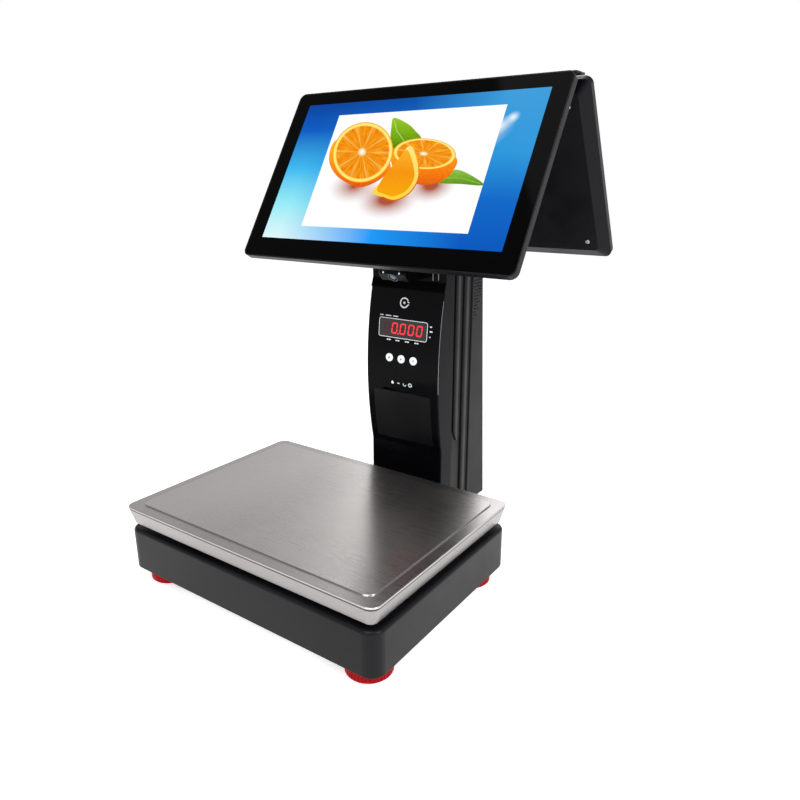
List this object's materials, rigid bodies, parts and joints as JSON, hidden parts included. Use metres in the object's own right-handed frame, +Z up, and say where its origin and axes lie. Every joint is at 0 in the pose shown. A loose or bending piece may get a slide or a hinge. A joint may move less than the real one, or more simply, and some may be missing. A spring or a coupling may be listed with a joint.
{
  "type": "label printing scale",
  "caption": "Counter-top label printing scale with a loose steel pan, a printer column and back-to-back tilting displays.",
  "frame": {"origin": "on the standing surface, below the middle of the overall box", "axes": "+X to the operator's right, +Y towards the customer side, +Z up"},
  "size_m": [0.39, 0.5174, 0.5688],
  "materials": {
    "pan_steel": "brushed stainless steel",
    "cast_alloy": "cast aluminium",
    "zinc_steel": "zinc plated steel",
    "buffer_rubber": "black rubber",
    "base_paint": "charcoal semi-gloss paint",
    "chassis_steel": "grey painted steel",
    "knob_red": "red ribbed plastic",
    "vial_clear": "clear vial with green fluid",
    "column_plastic": "fine textured charcoal plastic",
    "console_black": "gloss black plastic",
    "window_tint": "dark red tinted window",
    "board_green": "green circuit board",
    "key_white": "white keys",
    "door_black": "black plastic door",
    "platen_rubber": "platen rubber",
    "gear_nylon": "white nylon",
    "label_paper": "paper labels",
    "core_card": "card core",
    "socket_black": "black moulded sockets",
    "display_plastic": "fine textured black plastic",
    "display_glass": "black bordered display glass",
    "panel_metal": "display panel",
    "lens_glass": "camera lens"
  },
  "bodies": {
    "base": {"base_chassis": "chassis_steel", "base_housing": "base_paint", "bridge_cover": "column_plastic", "camera_lens": "lens_glass", "camera_pod": "console_black", "column_feet": "buffer_rubber", "column_shell": "column_plastic", "column_spine": "chassis_steel", "console_board": "board_green", "console_panel": "console_black", "data_sockets": "socket_black", "head_post": "chassis_steel", "level_vial": "vial_clear", "load_cell": "cast_alloy", "load_cell_blocks": "cast_alloy", "load_cell_bolts": "zinc_steel", "lower_cover": "console_black", "main_board": "board_green", "neck_hood": "console_black", "pan_pads": "buffer_rubber", "pan_spider": "cast_alloy", "post_cover": "column_plastic", "power_inlet": "socket_black", "power_supply": "zinc_steel", "printer_frame": "zinc_steel", "readout_window": "window_tint", "socket_plate": "zinc_steel", "stepper_motor": "zinc_steel", "tear_bar": "zinc_steel", "thermal_head": "zinc_steel", "top_cap": "column_plastic"},
    "pan": {"weighing_pan": "pan_steel"},
    "foot_front_left": {"foot_stud_front_left": "zinc_steel"},
    "knob_front_left": {"foot_knob_front_left": "knob_red"},
    "foot_front_right": {"foot_stud_front_right": "zinc_steel"},
    "knob_front_right": {"foot_knob_front_right": "knob_red"},
    "foot_rear_left": {"foot_stud_rear_left": "zinc_steel"},
    "knob_rear_left": {"foot_knob_rear_left": "knob_red"},
    "foot_rear_right": {"foot_stud_rear_right": "zinc_steel"},
    "knob_rear_right": {"foot_knob_rear_right": "knob_red"},
    "key_left": {"key_left": "key_white"},
    "key_middle": {"key_middle": "key_white"},
    "key_right": {"key_right": "key_white"},
    "printer_door": {"printer_door": "door_black"},
    "label_roll": {"label_roll": "label_paper", "roll_core": "core_card"},
    "platen": {"platen_roller": "platen_rubber", "platen_gear": "gear_nylon"},
    "motor_gear": {"motor_gear": "gear_nylon"},
    "front_display": {"front_display_shell": "display_plastic", "front_display_glass": "display_glass", "front_display_panel": "panel_metal", "front_port_cover": "display_plastic", "front_display_hinge": "zinc_steel"},
    "rear_display": {"rear_display_shell": "display_plastic", "rear_display_glass": "display_glass", "rear_display_panel": "panel_metal", "rear_port_cover": "display_plastic", "rear_display_hinge": "zinc_steel"},
    "power_rocker": {"power_rocker": "socket_black"}
  },
  "joints": [
    {"name": "pan_lift", "type": "slide", "parent": "base", "child": "pan", "axis": [0, 0, 1], "range_m": [0, 0.06]},
    {"name": "foot_height_front_left", "type": "slide", "parent": "base", "child": "foot_front_left", "axis": [0, 0, -1], "range_m": [0, 0.00375]},
    {"name": "knob_turn_front_left", "type": "hinge", "parent": "foot_front_left", "child": "knob_front_left", "pos_m": [-0.1499, -0.2254, 0.008], "axis": [0, 0, 1], "range_deg": [0, 1080]},
    {"name": "foot_height_front_right", "type": "slide", "parent": "base", "child": "foot_front_right", "axis": [0, 0, -1], "range_m": [0, 0.00375]},
    {"name": "knob_turn_front_right", "type": "hinge", "parent": "foot_front_right", "child": "knob_front_right", "pos_m": [0.1499, -0.2254, 0.008], "axis": [0, 0, 1], "range_deg": [0, 1080]},
    {"name": "foot_height_rear_left", "type": "slide", "parent": "base", "child": "foot_rear_left", "axis": [0, 0, -1], "range_m": [0, 0.00375]},
    {"name": "knob_turn_rear_left", "type": "hinge", "parent": "foot_rear_left", "child": "knob_rear_left", "pos_m": [-0.1499, -0.0286, 0.008], "axis": [0, 0, 1], "range_deg": [0, 1080]},
    {"name": "foot_height_rear_right", "type": "slide", "parent": "base", "child": "foot_rear_right", "axis": [0, 0, -1], "range_m": [0, 0.00375]},
    {"name": "knob_turn_rear_right", "type": "hinge", "parent": "foot_rear_right", "child": "knob_rear_right", "pos_m": [0.1499, -0.0286, 0.008], "axis": [0, 0, 1], "range_deg": [0, 1080]},
    {"name": "key_press_left", "type": "slide", "parent": "base", "child": "key_left", "axis": [0, 0.9991, -0.042], "range_m": [0, 0.001], "stiffness_N_per_m": 500, "springref_m": -0.0005},
    {"name": "key_press_middle", "type": "slide", "parent": "base", "child": "key_middle", "axis": [0, 0.9991, -0.042], "range_m": [0, 0.001], "stiffness_N_per_m": 500, "springref_m": -0.0005},
    {"name": "key_press_right", "type": "slide", "parent": "base", "child": "key_right", "axis": [0, 0.9991, -0.042], "range_m": [0, 0.001], "stiffness_N_per_m": 500, "springref_m": -0.0005},
    {"name": "printer_door_hinge", "type": "hinge", "parent": "base", "child": "printer_door", "pos_m": [0, 0.0545, 0.1245], "axis": [1, 0, 0], "range_deg": [0, 75]},
    {"name": "label_roll_spin", "type": "hinge", "parent": "base", "child": "label_roll", "pos_m": [0, 0.108, 0.14], "axis": [1, 0, 0], "continuous": true},
    {"name": "platen_spin", "type": "hinge", "parent": "base", "child": "platen", "pos_m": [0, 0.0645, 0.184], "axis": [1, 0, 0], "continuous": true},
    {"name": "motor_spin", "type": "hinge", "parent": "base", "child": "motor_gear", "pos_m": [0, 0.08109, 0.17239], "axis": [1, 0, 0], "continuous": true},
    {"name": "front_display_tilt", "type": "hinge", "parent": "base", "child": "front_display", "pos_m": [0, 0.1005, 0.54], "axis": [-1, 0, 0], "range_deg": [-8, 12]},
    {"name": "rear_display_tilt", "type": "hinge", "parent": "base", "child": "rear_display", "pos_m": [0, 0.1205, 0.54], "axis": [1, 0, 0], "range_deg": [-8, 12]},
    {"name": "power_rocker_tip", "type": "hinge", "parent": "base", "child": "power_rocker", "pos_m": [0.022, 0.16956, 0.08071], "axis": [-1, 0, 0], "range_deg": [0, 24]}
  ],
  "couplings": [
    {"joint": "knob_turn_front_left", "follows": "foot_height_front_left", "rad_per_m": 5026.5},
    {"joint": "knob_turn_front_right", "follows": "foot_height_front_right", "rad_per_m": 5026.5},
    {"joint": "knob_turn_rear_left", "follows": "foot_height_rear_left", "rad_per_m": 5026.5},
    {"joint": "knob_turn_rear_right", "follows": "foot_height_rear_right", "rad_per_m": 5026.5},
    {"joint": "platen_spin", "follows": "label_roll_spin", "ratio": 4.5},
    {"joint": "motor_spin", "follows": "label_roll_spin", "ratio": -10.5}
  ]
}
